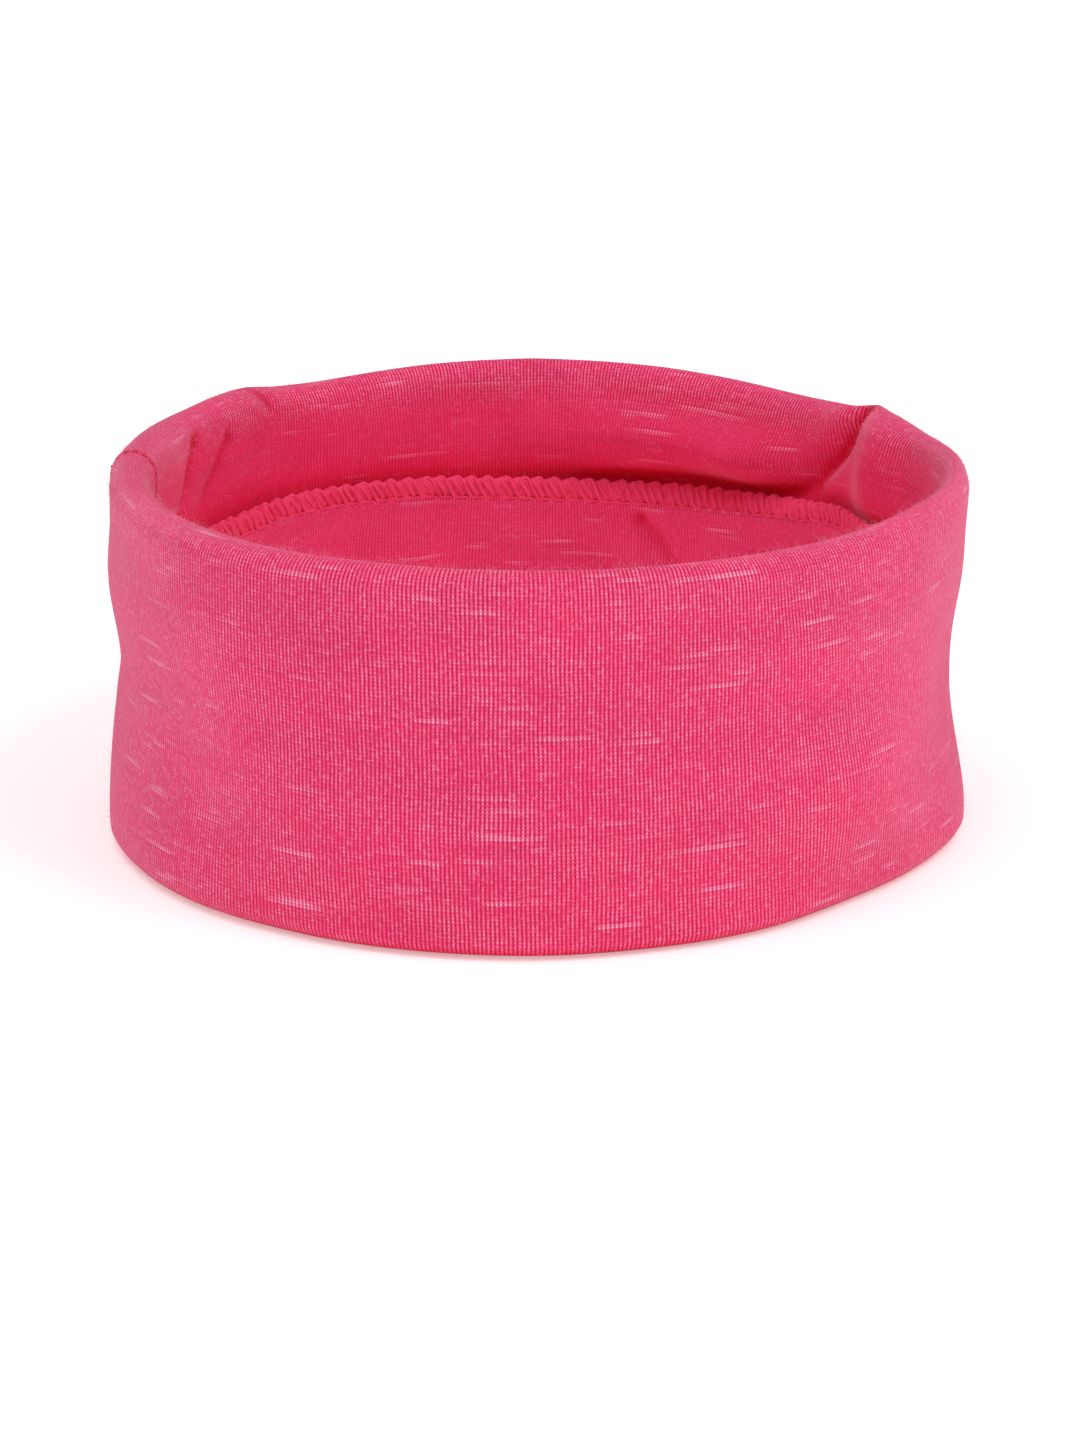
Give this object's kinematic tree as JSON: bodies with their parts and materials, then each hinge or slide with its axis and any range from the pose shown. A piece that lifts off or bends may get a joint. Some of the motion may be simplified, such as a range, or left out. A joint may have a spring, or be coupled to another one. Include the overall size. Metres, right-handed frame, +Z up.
{
  "type": "sports headband",
  "caption": "Soft knitted loop worn around the forehead to hold back hair and take up sweat, folded along both edges, with an overlocked seam on its inside.",
  "frame": {"origin": "on the surface that the headband stands on, at the middle of the loop", "axes": "+Z up, along the width of the band; +Y across the loop's slightly longer diameter; the cross seam lies towards -X"},
  "size_m": [0.16, 0.163, 0.069],
  "materials": {
    "pink_jersey": "matt slub jersey knit with fine wales",
    "pink_thread": "spun sewing thread"
  },
  "bodies": {
    "root": {"knit_panel": "pink_jersey", "long_seam_needle_thread": "pink_thread", "long_seam_upper_looper_thread": "pink_thread", "long_seam_lower_looper_thread": "pink_thread", "cross_seam_needle_thread": "pink_thread", "cross_seam_upper_looper_thread": "pink_thread", "cross_seam_lower_looper_thread": "pink_thread"}
  },
  "joints": []
}
